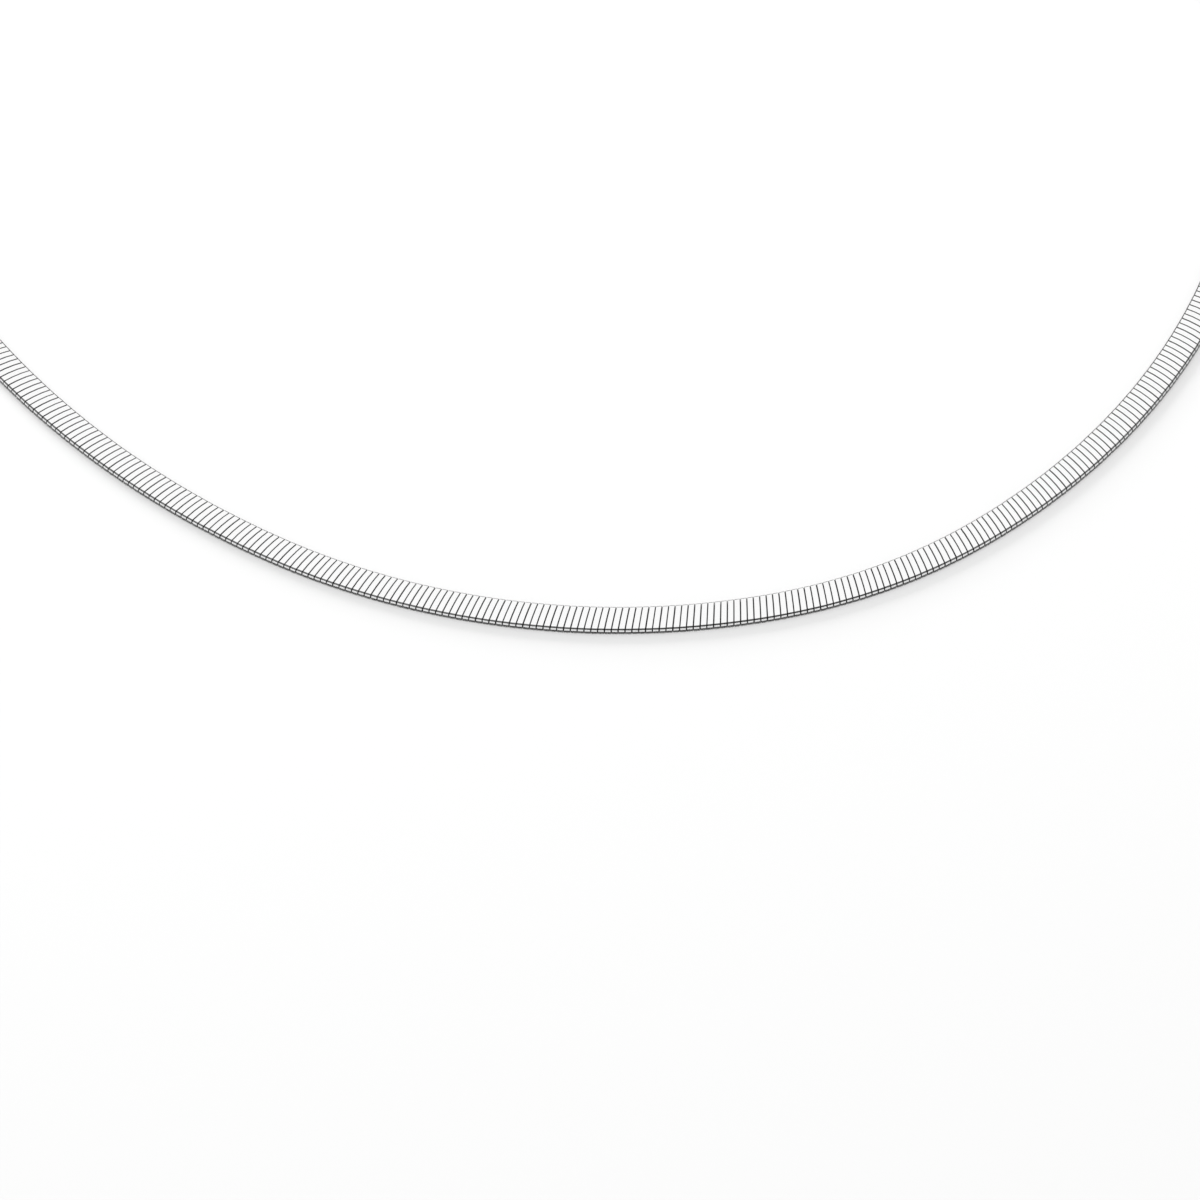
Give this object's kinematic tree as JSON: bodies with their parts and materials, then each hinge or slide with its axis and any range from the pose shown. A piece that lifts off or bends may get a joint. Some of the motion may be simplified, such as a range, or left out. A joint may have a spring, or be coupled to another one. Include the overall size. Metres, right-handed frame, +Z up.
{
  "type": "omega necklace",
  "caption": "Closed omega necklace lying flat, plates up: domed metal plates edge to edge round a woven ribbon, with an end cap at each end and a plain box clasp at the back.",
  "frame": {"origin": "on the surface that the necklace lies on, below the middle of its bounding box", "axes": "+Z up, out of the plates' domed faces; +Y to the back, where the clasp is; +X to the right, seen from the front"},
  "size_m": [0.1368, 0.1268, 0.0015],
  "materials": {
    "polished_plates": "mirror-polished silver",
    "woven_ribbon": "woven fine silver wire",
    "polished_findings": "mirror-polished silver"
  },
  "bodies": {
    "root": {"front_plates": "polished_plates", "back_band": "polished_plates", "woven_ribbon": "woven_ribbon", "end_cap_left": "polished_findings", "end_cap_right": "polished_findings", "clasp": "polished_findings"}
  },
  "joints": []
}
